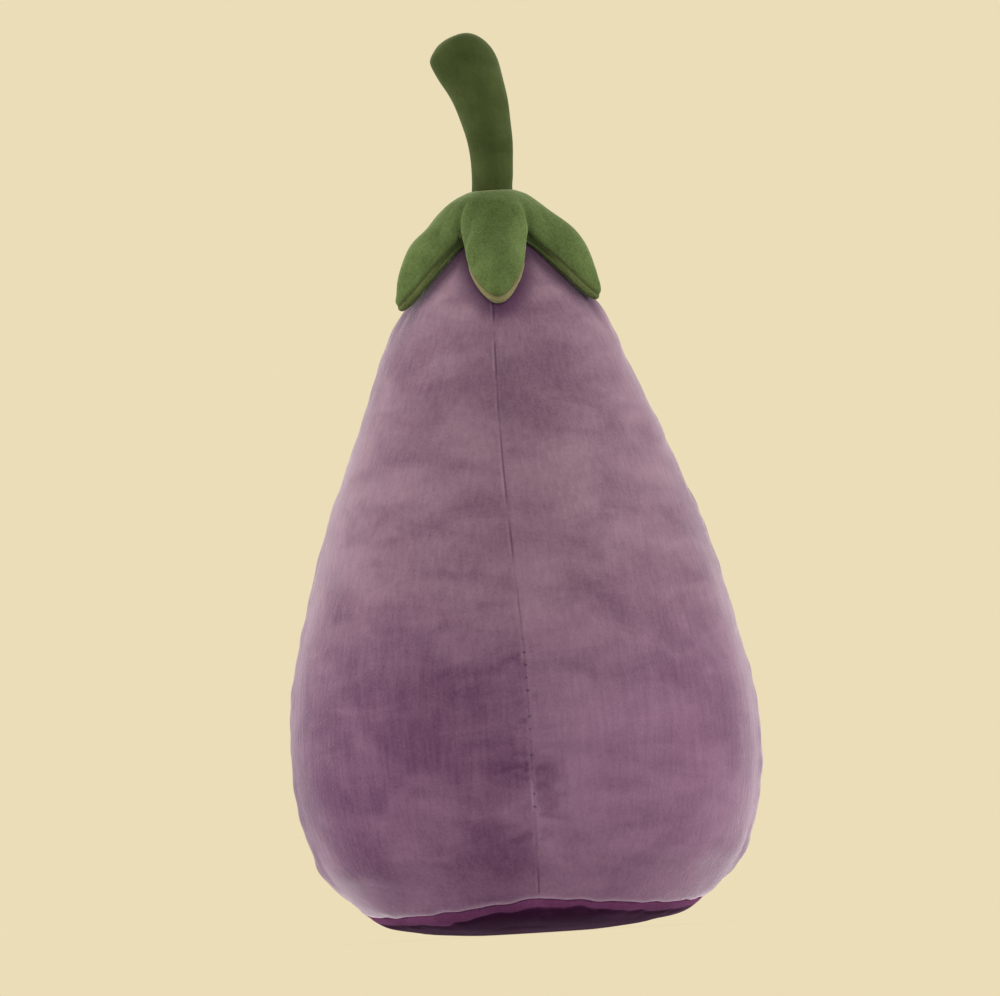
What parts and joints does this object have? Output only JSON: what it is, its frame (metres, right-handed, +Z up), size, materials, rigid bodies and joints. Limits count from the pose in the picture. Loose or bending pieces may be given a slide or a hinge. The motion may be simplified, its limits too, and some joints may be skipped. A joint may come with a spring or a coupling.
{
  "type": "plush eggplant",
  "caption": "Stuffed plush eggplant cushion with a lilac body, a plum base, a padded green calyx and a padded leaning stem.",
  "frame": {"origin": "middle of the flat foot, on the surface that the cushion stands on", "axes": "+Z up along the body's axis to the stem, -Y to the front with the hand-sewn closing, -X to the side that the stem leans to"},
  "size_m": [0.2346, 0.2348, 0.4524],
  "materials": {
    "lilac_plush": "short pile plush with a pale sheen",
    "plum_plush": "short pile plush",
    "green_plush": "short pile plush",
    "polyester_filling": "loose white fibre",
    "sewing_thread": "twisted and waxed thread"
  },
  "bodies": {
    "root": {"body_gore_front_left": "lilac_plush", "body_gore_front_right": "lilac_plush", "body_gore_back_left": "lilac_plush", "body_gore_back_right": "lilac_plush", "base_panel": "plum_plush", "body_filling": "polyester_filling", "closing_thread": "sewing_thread", "calyx_top_panel": "green_plush", "calyx_under_panel": "green_plush", "calyx_filling": "polyester_filling", "stem_front_panel": "green_plush", "stem_back_panel": "green_plush", "stem_filling": "polyester_filling"}
  },
  "joints": []
}
